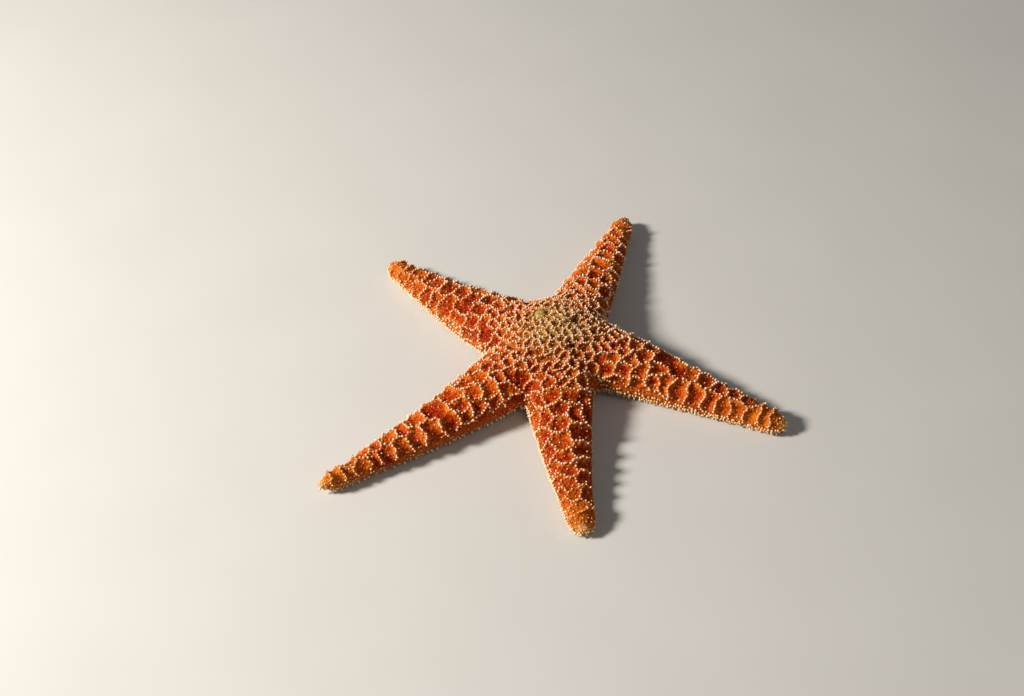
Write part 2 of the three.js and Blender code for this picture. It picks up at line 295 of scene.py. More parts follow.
def surface_grid(low, high, step):
    """Quads around the solid side of body_depth, one point to each cell that it crosses."""
    counts = np.ceil((high - low) / step).astype(int) + 1
    axes = [low[i] + step * np.arange(counts[i]) for i in range(3)]
    depth = body_depth(np.stack(np.meshgrid(*axes, indexing="ij"), axis=-1))
    inside = depth > 0
    cells = tuple(n - 1 for n in counts)
    corners = np.zeros(cells, int)
    for offset in np.ndindex(2, 2, 2):
        corners += inside[tuple(slice(o, o + n) for o, n in zip(offset, cells))]
    crossed = (corners > 0) & (corners < 8)
    ids = np.argwhere(crossed)
    index = np.full(cells, -1)
    index[crossed] = np.arange(len(ids))

    total = np.zeros((len(ids), 3))
    count = np.zeros((len(ids), 1))
    for axis in range(3):
        others = [a for a in range(3) if a != axis]
        for pair in np.ndindex(2, 2):
            start = np.zeros(3, int)
            start[others] = pair
            end = start.copy()
            end[axis] = 1
            a = depth[tuple((ids + start).T)]
            b = depth[tuple((ids + end).T)]
            crosses = (a > 0) != (b > 0)
            share = np.where(crosses, a / np.where(crosses, a - b, 1), 0)
            spot = np.tile(start.astype(float), (len(ids), 1))
            spot[:, axis] = share
            total += spot * crosses[:, None]
            count += crosses[:, None]
    points = low + step * (ids + total / count)

    quads = []
    for axis in range(3):
        b, c = [a for a in range(3) if a != axis]
        near = np.take(inside, range(counts[axis] - 1), axis=axis)
        far = np.take(inside, range(1, counts[axis]), axis=axis)
        edge = np.argwhere(near != far)
        leaving = near[tuple(edge.T)]
        ring = []
        for db, dc in ((-1, -1), (0, -1), (0, 0), (-1, 0)):
            cell = edge.copy()
            cell[:, b] += db
            cell[:, c] += dc
            ring.append(index[tuple(cell.T)])
        ring = np.stack(ring, axis=1)
        forward = leaving if axis != 1 else ~leaving
        quads.append(np.where(forward[:, None], ring, ring[:, ::-1]))
    return points, np.concatenate(quads)


def relax(points, quads, rounds):
    """Evens out the spacing of the grid's points along the surface."""
    ends = np.concatenate([quads[:, [i, (i + 1) % 4]] for i in range(4)])
    ends = np.concatenate([ends, ends[:, ::-1]])
    number = np.bincount(ends[:, 0], minlength=len(points))[:, None]
    for _ in range(rounds):
        total = np.zeros_like(points)
        for axis in range(3):
            total[:, axis] = np.bincount(ends[:, 0], points[ends[:, 1], axis], len(points))
        points = settle(mix(points, total / number, 0.5), 1)
    return points


def refine(points, quads, fine):
    """Splits the marked quads in four. Others gain corners where they meet a split one."""
    edges = np.sort(np.stack([quads, np.roll(quads, -1, axis=1)], axis=2), axis=2)
    keys = edges[..., 0] * len(points) + edges[..., 1]
    unique, back = np.unique(keys, return_inverse=True)
    back = back.reshape(keys.shape)
    split = np.zeros(len(unique), bool)
    split[back[fine]] = True
    middle_id = np.full(len(unique), -1)
    middle_id[split] = len(points) + np.arange(split.sum())
    low, high = unique[split] // len(points), unique[split] % len(points)
    middles = (points[low] + points[high]) / 2
    centres = points[quads[fine]].mean(axis=1)
    first_centre = len(points) + len(middles)
    centre_id = first_centre + np.arange(len(centres))
    side = middle_id[back]
    small = [
        np.stack([quads[fine][:, i], side[fine][:, i], centre_id, side[fine][:, i - 1]], axis=1)
        for i in range(4)
    ]
    faces = np.concatenate(small).tolist()
    for corners, mids in zip(quads[~fine].tolist(), side[~fine].tolist()):
        face = []
        for corner, mid in zip(corners, mids):
            face.append(corner)
            if mid >= 0:
                face.append(mid)
        faces.append(face)
    return np.concatenate([points, middles, centres]), faces


# ---- The net of ridges ----

def row_share(arm, place):
    """Share of an arm's reach at a place counted in rows of meshes from the disc's middle."""
    count, crowding = arm["rows"]
    even = 1 - crowding
    return (math.sqrt(even * even + 4 * crowding * place / count) - even) / (2 * crowding)


def on_arm(arm, along, around):
    """Points near an arm's skin: -1 to 1 across its crown, and beyond that below its waist."""
    half, sole, waist, top, nose = arm_section(arm, along)
    angle = (1 - around) * np.pi / 2
    power = 2 / ARM_ROUND
    side = np.sign(np.cos(angle)) * np.abs(np.cos(angle)) ** power * half * nose
    rise = np.sign(np.sin(angle)) * np.abs(np.sin(angle)) ** power
    height = waist + rise * np.where(rise > 0, top - waist, TUCK * (waist - sole)) * nose
    forward, left = arm_axes(arm)
    side = side + arm_bow(arm, along / arm["reach"])
    flat = np.multiply.outer(along, forward) + np.multiply.outer(side, left)
    return np.concatenate([flat, np.asarray(height)[..., None]], axis=-1)


def net_seeds():
    """Middles of the net's meshes: a sunflower pattern on the disc and rows on the arms."""
    seeds = []
    golden = math.pi * (3 - math.sqrt(5))
    radii = np.linspace(0, DISC_NET, 300)
    spacing = mix(*DISC_MESH, radii / DISC_NET)
    count = np.cumsum(2 * np.pi * radii / (0.87 * spacing ** 2)) * radii[1]
    for i in range(int(count[-1])):
        radius = np.interp(i + 0.5, count, radii)
        spot = radius * np.array([math.cos(i * golden), math.sin(i * golden)])
        spot = spot + rng.normal(0, 0.7, 2)
        height = 12.0 + 13.0 * math.cos(radius / DISC_NET * 1.1)
        seeds.append([spot[0], spot[1], height])
    for arm in ARMS.values():
        first = DISC_NET + 2.5
        last = DENSE_ARM * arm["reach"]
        rows = np.linspace(first, last, max(2, round((last - first) / DENSE_GAP)))
        for row, along in enumerate(rows):
            for around in np.linspace(-0.82, 0.82, 6) + 0.11 * (row % 2):
                spot = along + rng.normal(0, 0.5), around + rng.normal(0, 0.03)
                seeds.append(on_arm(arm, *spot).tolist())
        for around, shift, end in arm["columns"]:
            number = arm["rows"][0]
            for row in range(int(number) + 1):
                place = row + 0.5 - shift + rng.normal(0, 0.09)
                share = row_share(arm, min(max(place, 0.0), number))
                along = arm["reach"] * share
                if share < DENSE_ARM + 0.035 or share > end or along > arm["reach"] - 2.0:
                    continue
                across = around + rng.normal(0, 0.04)
                seeds.append(on_arm(arm, along, across).tolist())
    return settle(np.array(seeds))


SEEDS = net_seeds()
SIEVE_PLACE = settle(SIEVE_AWAY * np.array([[
    math.cos(math.radians(SIEVE_HEADING)), math.sin(math.radians(SIEVE_HEADING)), 0.0,
]]) + [0.0, 0.0, DISC_TOP - 2.0], 4)[0]


def pair_noise(a, b):
    """A steady chance from 0 to 1 for each pair of numbers, in either order."""
    low, high = np.minimum(a, b), np.maximum(a, b)
    value = np.sin(low * 12.9898 + high * 78.233) * 43758.5453
    return value - np.floor(value)


def ridge_strength(a, b):
    """How strong the ridge between two meshes is: fullest where it runs across an arm."""
    chance = pair_noise(a, b)
    middle = (SEEDS[a] + SEEDS[b]) / 2
    gap = unit(SEEDS[a] - SEEDS[b])
    outwards = unit(middle * [1.0, 1.0, 0.0])
    across = mix(1.0, 0.62 + 0.38 * np.abs((gap * outwards).sum(axis=1)), net_size(middle)[1])
    outer = smooth(0.5, 0.65, body_place(middle)[1])
    weak = chance < WEAK_RIDGES * (1 - outer)
    return np.where(weak, 0.25, mix(0.8, 1.15, chance)) * across


def net_size(points):
    """Size of the net's ridges as a share of the widest, and how far out on an arm it is."""
    _, share, _, _ = body_place(points)
    radius = np.hypot(points[:, 0], points[:, 1])
    arm = smooth(24.0, 44.0, radius)
    return mix(FINE_NET, 1.0, arm) * mix(1.0, 0.55, smooth(0.6, 1.0, share)), arm


def wander(points):
    """Shifts points by up to a millimetre in slow waves, which bends the lines of the net."""
    slow = np.sin(points[..., [1, 2, 0]] * 0.9 + points[..., [2, 0, 1]] * 0.5 + [0.0, 2.0, 4.0])
    quick = np.sin(points[..., [2, 0, 1]] * 2.1 - points[..., [1, 2, 0]] * 1.3 + [1.0, 3.0, 5.0])
    return points + 0.55 * slow + 0.3 * quick


def net_lookup(points):
    """Nearest seed, and distance to and strength of the ridges around its mesh."""
    points = wander(points)
    nearest = np.empty((len(points), 3), int)
    spans = np.empty((len(points), 3))
    for start in range(0, len(points), 8192):
        block = points[start:start + 8192]
        square = ((block[:, None, :] - SEEDS[None]) ** 2).sum(axis=2)
        near = np.argpartition(square, 3, axis=1)[:, :3]
        order = np.argsort(np.take_along_axis(square, near, axis=1), axis=1)
        near = np.take_along_axis(near, order, axis=1)
        nearest[start:start + 8192] = near
        spans[start:start + 8192] = np.take_along_axis(square, near, axis=1)
    distances = []
    strengths = []
    for other in (1, 2):
        gap = np.linalg.norm(SEEDS[nearest[:, 0]] - SEEDS[nearest[:, other]], axis=1)
        distances.append((spans[:, other] - spans[:, 0]) / (2 * gap))
        strengths.append(ridge_strength(nearest[:, 0], nearest[:, other]))
    return nearest, np.stack(distances, axis=1), np.stack(strengths, axis=1)


def ridge_profile(distance, size):
    """Height of a ridge from 0 to 1: a sharp crest on a broad foot."""
    crest = np.exp(-(distance / (CREST * size)) ** 2)
    return 0.6 * crest + 0.4 * np.exp(-(distance / (SHOULDER * size)) ** 2)


def body_place(points):
    """Nearest arm, share along it, place around it and share of disc at each point."""
    best = np.full(len(points), -np.inf)
    number = np.zeros(len(points), int)
    share = np.zeros(len(points))
    height = np.zeros(len(points))
    for i, arm in enumerate(ARMS.values()):
        along, side = arm_place(arm, points)
        _, sole, waist, top, nose = arm_section(arm, along)
        near = -np.abs(side) - np.maximum(-along, 0) * 2
        better = near > best
        best = np.where(better, near, best)
        number = np.where(better, i, number)
        share = np.where(better, along / arm["reach"], share)
        rise = points[:, 2] - waist
        tall = np.where(rise > 0, top - waist, waist - sole)
        height = np.where(better, rise / np.maximum(tall * np.maximum(nose, 0.25), 0.5), height)
    radius = np.hypot(points[:, 0], points[:, 1])
    return number, clamp01(share), height, 1 - smooth(4.0, 44.0, radius)


def across_arm(points, number, key):
    """A pair of each point's nearest arm, blended from its right flank to its left."""
    value = np.zeros(len(points))
    for i, arm in enumerate(ARMS.values()):
        here = number == i
        _, side = arm_place(arm, points[here])
        value[here] = mix(*arm[key], smooth(-1.5, 1.5, side))
    return value


def net_weight(points, normals):
    """How strongly the net shows: fully on the crown, not at all on the flanks and sole."""
    number, share, height, disc = body_place(points)
    crown = smooth(-0.12, 0.14, height - across_arm(points, number, "net"))
    upper = smooth(-0.05, 0.3, normals[:, 2])
    tip = 1 - smooth(0.95, 0.995, share)
    plate = smooth(SIEVE_RADIUS - 0.8, SIEVE_RADIUS + 1.2,
                   np.linalg.norm(points - SIEVE_PLACE, axis=1))
    return np.maximum(crown, disc) * upper * mix(0.35, 1.0, tip) * plate


def pocket_share(points):
    """1 in the middle of the disc's hollows, which are painted dark as shadow, 0 away from them.
    """
    share = np.zeros(len(points))
    upper = points[:, 2] > 12.0
    for x, y, radius in POCKETS:
        away = np.hypot(points[:, 0] - x, points[:, 1] - y)
        share = np.maximum(share, (1 - smooth(0.3 * radius, 1.4 * radius, away)) * upper)
    return share


def net_relief(points, normals):
    """Nearest seed, ridge from 0 to 1, line of its crest, lift in millimetres, and weight."""
    nearest, distance, strength = net_lookup(points)
    size, _ = net_size(points)
    weight = net_weight(points, normals)
    ridge = (ridge_profile(distance, size[:, None]) * strength).max(axis=1)
    line = (np.exp(-(distance / (0.52 * size[:, None] ** 0.5)) ** 2) * strength).max(axis=1)
    lift = NET_RISE * size * (ridge - NET_BASE) * weight - 1.3 * pocket_share(points)
    return nearest[:, 0], ridge * weight, line * weight, lift, weight


# ---- Meshes ----

def make_mesh(name, points, faces):
    """A piece about the disc's middle, in millimetres, made a mesh of the frame in metres."""
    mesh = bpy.data.meshes.new(name)
    mesh.from_pydata((np.asarray(points) + DISC_CENTRE) * MM, [], faces)
    mesh.validate()
    mesh.shade_smooth()
    piece = bpy.data.objects.new(name, mesh)
    bpy.context.scene.collection.objects.link(piece)
    return piece


def set_attribute(mesh, name, values, domain="POINT"):
    values = np.asarray(values, np.float32)
    kind = "FLOAT_VECTOR" if values.ndim == 2 else "FLOAT"
    attribute = mesh.attributes.new(name, kind, domain)
    attribute.data.foreach_set("vector" if values.ndim == 2 else "value", values.ravel())


def loop_points(mesh):
    """Each face corner's vertex, and the number of the face that it belongs to."""
    vertex = np.empty(len(mesh.loops), np.int32)
    mesh.loops.foreach_get("vertex_index", vertex)
    sizes = np.empty(len(mesh.polygons), np.int32)
    mesh.polygons.foreach_get("loop_total", sizes)
    return vertex, np.repeat(np.arange(len(sizes)), sizes)


# ---- Unwrap of the skin: each arm a strip, the disc a round above and a round below ----

STRIP = 0.19           # height of an arm's strip on the unwrap
STRIP_LENGTH = 0.6
BORDER = 0.022         # around the islands
DISC_CHART = 33.0      # radius at which the disc's rounds end
ROUND_SCALE = 0.15 / 36.0
ROUNDS = {5: (0.82, 0.25), 6: (0.82, 0.72)}   # middles of the disc's top and of its sole


def section_turn(arm, points):
    """Turn around an arm from the middle of its sole, -0.5 to 0.5."""
    along, side = arm_place(arm, points)
    half, sole, _, top, _ = arm_section(arm, along)
    middle = mix(sole, top, 0.5)
    angle = np.arctan2(side / half, -(points[:, 2] - middle) / (top - sole) * 2)
    return angle / (2 * np.pi)


def chart_of(points):
    """Island of the unwrap: 0 to 4 for the arms, 5 and 6 for the disc's top and sole."""
    number, _, height, _ = body_place(points)
    radius = np.hypot(points[:, 0], points[:, 1])
    top, sole = ROUNDS
    return np.where(radius > DISC_CHART, number, np.where(height > 0, top, sole))


def unwrap(points, chart, beside):
    """Places on the unwrap. beside is the turn of each point's face, to keep it in one piece."""
    place = np.zeros((len(points), 2))
    for i, arm in enumerate(ARMS.values()):
        here = chart == i
        along, _ = arm_place(arm, points[here])
        turn = section_turn(arm, points[here])
        turn = turn + np.round(beside[here] - turn)
        place[here, 0] = BORDER + STRIP_LENGTH * (along - 20.0) / (arm["reach"] - 18.0)
        place[here, 1] = BORDER + STRIP * (i + 0.5) + 0.92 * STRIP * turn
    for i, middle in ROUNDS.items():
        here = chart == i
        for axis in (0, 1):
            place[here, axis] = middle[axis] + ROUND_SCALE * points[here, axis]
    return place


def turn_of(points, chart):
    """Turn around its arm of each point, 0 on the disc."""
    turn = np.zeros(len(points))
    for i, arm in enumerate(ARMS.values()):
        here = chart == i
        turn[here] = section_turn(arm, points[here])
    return turn


def unwrap_skin(mesh, points):
    """Lays the skin's faces out on the unwrap, each whole on one island."""
    vertex, face = loop_points(mesh)
    count = np.bincount(face)[:, None]
    middles = np.stack([np.bincount(face, points[vertex, a]) for a in range(3)], axis=1) / count
    chart = chart_of(middles)
    beside = turn_of(middles, chart)
    place = unwrap(points[vertex], chart[face], beside[face])
    layer = mesh.uv_layers.new(name="OFBake")
    layer.data.foreach_set("uv", clamp01(place).astype(np.float32).ravel())


# ---- The skin ----

def make_skin():
    """The skin, with the plain points, faces and nearest seeds that its spines grow from."""
    low = np.array([-106.0, -104.0, -SKIN_STEP * 1.5])
    high = np.array([106.0, 100.0, 28.0])
    points, quads = surface_grid(low, high, SKIN_STEP)
    points = relax(settle(points), quads, 4)
    upper = outward(points)[:, 2] > -0.25
    points, faces = refine(points, quads, upper[quads].all(axis=1))
    points = settle(points)
    normals = unit(outward(points))
    nearest, ridge, line, lift, _ = net_relief(points, normals)

    skin = make_mesh("skin", points + normals * lift[:, None], faces)
    number, share, height, disc = body_place(points)
    set_attribute(skin.data, "ridge", ridge)
    set_attribute(skin.data, "line", line)
    set_attribute(skin.data, "along", share)
    set_attribute(skin.data, "cell", pair_noise(nearest, nearest + 7))
    low_flank = (1 - smooth(-0.35, 0.55, height)) * (1 - disc)
    fullness = mix(0.3, 1.0, across_arm(points, number, "margin"))
    set_attribute(skin.data, "flank", low_flank * fullness)
    set_attribute(skin.data, "disc", disc)
    set_attribute(skin.data, "pocket_painted_shadow", pocket_share(points))
    set_attribute(skin.data, "sole", smooth(0.35, 0.85, -normals[:, 2]))
    radius = np.hypot(points[:, 0], points[:, 1])
    set_attribute(skin.data, "mouth", (1 - smooth(2.0, 6.0, radius)) * (points[:, 2] < 12.0))
    unwrap_skin(skin.data, points)
    return skin, points, faces, nearest


# ---- Node trees ----

class Wire:
    """An output socket. Arithmetic on it adds Math nodes."""

    def __init__(self, board, socket):
        self.board = board
        self.socket = socket

    def math(self, operation, first, second=None):
        return self.board.add("ShaderNodeMath", {"operation": operation}, first, second)

    def __add__(self, other):
        return self.math("ADD", self, other)

    def __radd__(self, other):
        return self.math("ADD", other, self)

    def __sub__(self, other):
        return self.math("SUBTRACT", self, other)

    def __rsub__(self, other):
        return self.math("SUBTRACT", other, self)

    def __mul__(self, other):
        return self.math("MULTIPLY", self, other)


class Board:
    """A node tree that is wired by calls and expressions."""

    def __init__(self, tree):
        self.tree = tree

    def add(self, kind, settings=None, *values, output=0, **named):
        node = self.tree.nodes.new(kind)
        for key, value in (settings or {}).items():
            setattr(node, key, value)
        for socket, value in zip(node.inputs, values):
            self.feed(socket, value)
        for key, value in named.items():
            self.feed(node.inputs[key.replace("_", " ")], value)
        return Wire(self, node.outputs[output])

    def feed(self, socket, value):
        if isinstance(value, Wire):
            self.tree.links.new(value.socket, socket)
        elif value is not None:
            socket.default_value = value

    def step(self, low, high, value):
        """0 below low, 1 above high, eased between."""
        return self.add("ShaderNodeMapRange", {"interpolation_type": "SMOOTHSTEP"},
                        value, low, high, 0.0, 1.0)


def paint(red, green, blue):
    """A colour given as a painter sees it, from 0 to 255, in the light's own scale."""
    parts = np.array([red, green, blue]) / 255
    linear = np.where(parts > 0.04045, ((parts + 0.055) / 1.055) ** 2.4, parts / 12.92)
    return (*linear.tolist(), 1.0)


class Finish(Board):
    """A material with one glossy surface."""

    def __init__(self, name, roughness=0.5, **fixed):
        self.material = bpy.data.materials.new(name)
        self.material.use_nodes = True
        super().__init__(self.material.node_tree)
        self.surface = self.tree.nodes["Principled BSDF"]
        self.feed(self.surface.inputs["Roughness"], roughness)
        for key, value in fixed.items():
            self.feed(self.surface.inputs[key.replace("_", " ")], value)
        self.place = self.add("ShaderNodeTexCoord", output=3)

    def attribute(self, name):
        return self.add("ShaderNodeAttribute", {"attribute_name": name}, output=2)

    def blend(self, share, first, second, how="MIX"):
        node = self.tree.nodes.new("ShaderNodeMix")
        node.data_type = "RGBA"
        node.blend_type = how
        node.clamp_factor = True
        for index, value in ((0, share), (6, first), (7, second)):
            self.feed(node.inputs[index], value)
        return Wire(self, node.outputs[2])

    def grain(self, size, detail=2.0, rough=0.5):
        """Cloudy noise from 0 to 1 whose lumps are about size metres across."""
        return self.add("ShaderNodeTexNoise", None, Vector=self.place, Scale=1 / size,
                        Detail=detail, Roughness=rough)

    def pebbles(self, size):
        """Distance from the middles of a packing of grains about size metres across."""
        return self.add("ShaderNodeTexVoronoi", {"feature": "F1"}, Vector=self.place,
                        Scale=1 / size)

    def bump(self, height, depth):
        """Normals for a relief of a depth in metres."""
        return self.add("ShaderNodeBump", None, Strength=1.0, Distance=depth, Height=height)

    def finish(self, colour, normal=None):
        self.feed(self.surface.inputs["Base Color"], colour)
        self.feed(self.surface.inputs["Normal"], normal)
        return self.material


# ---- Finishes ----

def skin_finish():
    board = Finish("netted orange skin", Specular_IOR_Level=0.07)
    ridge = board.attribute("ridge")
    line = board.attribute("line")
    along = board.attribute("along")
    flank = board.attribute("flank")
    disc = board.attribute("disc")
    sole = board.attribute("sole")
    cloud = board.grain(0.009, 3.0)
    fleck = board.grain(0.0014, 2.0)
    grains = board.pebbles(0.001)

    # The skin's own red-orange, painted darker in the hollows of the net as shade and brighter on
    # the ridges' slopes as light.
    hollow_painted_shade = board.blend(board.step(0.35, 0.65, cloud), paint(136, 26, 3), paint(172, 50, 5))
    slope = board.blend(board.step(0.3, 0.7, cloud), paint(196, 80, 6), paint(214, 108, 10))
    colour = board.blend(board.step(0.15, 0.7, ridge + (fleck - 0.5) * 0.3), hollow_painted_shade, slope)
    cell = board.attribute("cell")
    colour = board.blend(board.step(0.55, 1.0, cell) * 0.4, colour, paint(208, 104, 18))
    colour = board.blend(board.step(0.45, 0.0, cell) * 0.4, colour, paint(158, 34, 4))
    colour = board.blend(flank * 0.8, colour, paint(212, 126, 36))
    colour = board.blend(board.step(0.72, 1.0, along) * 0.6, colour, paint(216, 124, 20))
    # The disc's own umber and olive tones, each painted darker in the hollows between its ridges
    # as shade and lighter on the ridges.
    umber_painted_shade = board.blend(board.step(0.1, 0.6, ridge + (cloud - 0.5) * 0.4),
                        paint(104, 40, 12), paint(184, 98, 34))
    colour = board.blend(board.step(0.4, 0.9, disc + (cloud - 0.5) * 0.5) * 0.85, colour, umber_painted_shade)
    olive_painted_shade = board.blend(board.step(0.15, 0.6, ridge + (cloud - 0.5) * 0.5),
                        paint(88, 56, 20), paint(172, 134, 62))
    middle = board.step(0.78, 1.0, disc + (cloud - 0.5) * 0.4)
    colour = board.blend(middle * 0.9, colour, olive_painted_shade)
    cream = board.step(0.35, 0.85, line) * (0.6 + disc * 0.35)
    colour = board.blend(cream, colour, paint(234, 186, 130))
    colour = board.blend(board.step(0.965, 1.0, along) * 0.85, colour, paint(240, 200, 126))
    colour = board.blend(sole, colour, paint(222, 178, 120))
    colour = board.blend(board.attribute("mouth"), colour, paint(84, 34, 16))
    # Painted shadow: the disc's deep hollows are painted almost black-brown.
    colour = board.blend(board.attribute("pocket_painted_shadow") * 0.9, colour, paint(48, 24, 14))
    # The grains' raised middles are painted brighter orange: partly the skin's own mottling,
    # partly painted highlight.
    grain_mottle_and_highlight = 1 - board.step(0.12, 0.5, grains)
    colour = board.blend(grain_mottle_and_highlight * 0.3 * (1 - sole), colour, paint(240, 128, 22))
    # Painted shade: the seams between the grains are darkened.
    grain_seam_shade = board.step(0.4, 0.75, grains)
    colour = board.blend(grain_seam_shade * 0.5, colour, paint(150, 50, 20), "MULTIPLY")

    relief = board.bump(grains * -1.0 + fleck * 0.5, 0.0005)
    roughness = 0.45 + board.grain(0.004, 2.0) * 0.25
    board.feed(board.surface.inputs["Roughness"], roughness)
    return board.finish(colour, relief)


def spine_finish(name, base, head, warm):
    """Limy spines, darker at the foot, some of them warmer than others."""
    board = Finish(name, 0.42, Specular_IOR_Level=0.3)
    rise = board.attribute("tip")
    tint = board.attribute("tint")
    colour = board.blend(board.step(0.2, 0.6, rise), base, head)
    colour = board.blend(tint, colour, board.blend(board.step(0.2, 0.7, rise), base, warm))
    grit = board.grain(0.0005, 2.0)
    return board.finish(colour, board.bump(grit, 0.00006))


def foot_finish():
    board = Finish("tube feet", 0.3, Specular_IOR_Level=0.5)
    rise = board.attribute("tip")
    colour = board.blend(rise, paint(226, 176, 96), paint(240, 214, 160))
    return board.finish(colour, board.bump(board.grain(0.0006), 0.00005))


def plate_finish():
    board = Finish("sieve plate", 0.6)
    cloud = board.grain(0.0012, 3.0)
    colour = board.blend(board.step(0.3, 0.7, cloud), paint(140, 114, 38), paint(200, 174, 86))
    return board.finish(colour, board.bump(board.pebbles(0.0004), 0.00012))


def jaw_finish():
    board = Finish("mouth jaws", 0.5)
    cloud = board.grain(0.002, 3.0)
    colour = board.blend(cloud, paint(206, 148, 92), paint(236, 204, 158))
    return board.finish(colour, board.bump(board.pebbles(0.0006), 0.00015))


# ---- Spines, made by Geometry Nodes on points of the skin ----

def club_tree():
    """Stands a small club on each point, along its aim, and joins them in one mesh."""
    tree = bpy.data.node_groups.new("clubs on points", "GeometryNodeTree")
    sockets = (
        ("Geometry", "NodeSocketGeometry", None),
        ("Width", "NodeSocketFloat", 0.0011),
        ("Height", "NodeSocketFloat", SPINE_TALL * MM),
        ("Neck", "NodeSocketFloat", 0.75),
        ("Head", "NodeSocketFloat", 0.1),
        ("Sink", "NodeSocketFloat", 0.0003),
        ("Sides", "NodeSocketInt", 7),
        ("Rings", "NodeSocketInt", 5),
        ("Finish", "NodeSocketMaterial", None),
    )
    for name, kind, value in sockets:
        socket = tree.interface.new_socket(name, in_out="INPUT", socket_type=kind)
        if value is not None:
            socket.default_value = value
    tree.interface.new_socket("Geometry", in_out="OUTPUT", socket_type="NodeSocketGeometry")
    board = Board(tree)
    entry = tree.nodes.new("NodeGroupInput")
    given = {socket.name: Wire(board, socket) for socket in entry.outputs if socket.name}

    ball = board.add("GeometryNodeMeshUVSphere", None, given["Sides"], given["Rings"], 1.0)
    chart = Wire(board, ball.socket.node.outputs["UV Map"])
    ball = board.add("GeometryNodeStoreNamedAttribute",
                     {"data_type": "FLOAT2", "domain": "CORNER"},
                     Geometry=ball, Name="OFBake", Value=chart)
    spot = board.add("ShaderNodeSeparateXYZ", None, board.add("GeometryNodeInputPosition"))
    x, y, z = (Wire(board, socket) for socket in spot.socket.node.outputs)
    rise = z * 0.5 + 0.5
    swell = board.step(given["Head"], given["Head"] * 0.5 + 0.6, rise)
    half = given["Width"] * (given["Neck"] + (1 - given["Neck"]) * swell)
    lift = rise * (given["Height"] + given["Sink"]) - given["Sink"]
    shaped = board.add("ShaderNodeCombineXYZ", None, x * half * 0.5, y * half * 0.5, lift)
    ball = board.add("GeometryNodeStoreNamedAttribute", {"data_type": "FLOAT"},
                     Geometry=ball, Name="tip", Value=rise)
    club = board.add("GeometryNodeSetPosition", None, Geometry=ball, Position=shaped)
    club = board.add("GeometryNodeSetShadeSmooth", None, Geometry=club)

    def named(name, kind):
        return board.add("GeometryNodeInputNamedAttribute", {"data_type": kind}, Name=name)

    turn = board.add("FunctionNodeAlignRotationToVector", {"axis": "Z"},
                     Vector=named("aim", "FLOAT_VECTOR"))
    girth = named("girth", "FLOAT")
    scale = board.add("ShaderNodeCombineXYZ", None, girth, girth, named("tall", "FLOAT"))
    stood = board.add("GeometryNodeInstanceOnPoints", None, Points=given["Geometry"],
                      Instance=club, Rotation=turn, Scale=scale)
    joined = board.add("GeometryNodeRealizeInstances", None, Geometry=stood)
    joined = board.add("GeometryNodeSetMaterial", None, Geometry=joined,
                       Material=given["Finish"])
    board.feed(tree.nodes.new("NodeGroupOutput").inputs[0], joined)
    return tree


CLUBS = club_tree()
PATCH = 0.003          # size of one spine's patch on the unwrap


def stand_clubs(name, roots, aims, girth, tall, tint, material, **sizes):
    """One piece of spines, each with its patch of the unwrap at its root's place."""
    points = make_mesh(name + "_roots", roots, [])
    set_attribute(points.data, "aim", aims)
    set_attribute(points.data, "girth", girth)
    set_attribute(points.data, "tall", tall)
    set_attribute(points.data, "tint", tint)
    modifier = points.modifiers.new("clubs", "NODES")
    modifier.node_group = CLUBS
    inputs = {item.name: item.identifier for item in CLUBS.interface.items_tree
              if item.in_out == "INPUT"}
    modifier[inputs["Finish"]] = material
    for key, value in sizes.items():
        modifier[inputs[key]] = value
    shown = points.evaluated_get(bpy.context.evaluated_depsgraph_get())
    mesh = bpy.data.meshes.new_from_object(shown)
    mesh.name = name
    bpy.data.objects.remove(points)
    piece = bpy.data.objects.new(name, mesh)
    bpy.context.scene.collection.objects.link(piece)

    chart = chart_of(roots)
    place = unwrap(roots, chart, turn_of(roots, chart))
    layer = mesh.uv_layers["OFBake"]
    spread = np.empty(len(mesh.loops) * 2, np.float32)
    layer.data.foreach_get("uv", spread)
    spread = PATCH * (spread.reshape(len(roots), -1, 2) - 0.5) + place[:, None, :]
    layer.data.foreach_set("uv", clamp01(spread).astype(np.float32).ravel())
    return piece


# ---- Where the spines stand ----

def spread_out(points, gaps, taken=(), room=0.0):
    """Numbers of the points kept, first come first served, each with a gap around it."""
    tree = KDTree(len(points))
    for i, point in enumerate(points):
        tree.insert(point, i)
    tree.balance()
    free = np.ones(len(points), bool)
    for point in taken:
        free[[i for _, i, _ in tree.find_range(point, room)]] = False
    kept = []
    for i, point in enumerate(points):
        if free[i]:
            kept.append(i)
            free[[j for _, j, _ in tree.find_range(point, gaps[i])]] = False
    return np.array(kept, int)


def skin_place(points):
    """Points of the plain skin lifted onto the net's relief, and their normals."""
    normals = unit(outward(points))
    lift = net_relief(points, normals)[3]
    return points + normals * lift[:, None], normals


def ridge_lines(points, faces, nearest):
    """Points where edges of the skin cross a ridge, ordered along each ridge in turn."""
    sides = np.array([
        (a, b) for face in faces for a, b in zip(face, face[1:] + face[:1]) if a < b
    ])
    a, b = sides[:, 0], sides[:, 1]
    cross = nearest[a] != nearest[b]
    a, b = a[cross], b[cross]
    low = np.minimum(nearest[a], nearest[b])
    high = np.maximum(nearest[a], nearest[b])
    first, second = SEEDS[low], SEEDS[high]

    def lean(spots):
        return ((spots - first) ** 2).sum(axis=1) - ((spots - second) ** 2).sum(axis=1)

    from_a, from_b = lean(wander(points[a])), lean(wander(points[b]))
    share = clamp01(from_a / np.where(np.abs(from_a - from_b) < 1e-9, 1.0, from_a - from_b))
    spots = points[a] + (points[b] - points[a]) * share[:, None]
    run = np.cross(unit(second - first), unit(outward(spots)))
    order = np.lexsort(((spots * run).sum(axis=1), high, low))
    return spots[order], ridge_strength(low, high)[order]


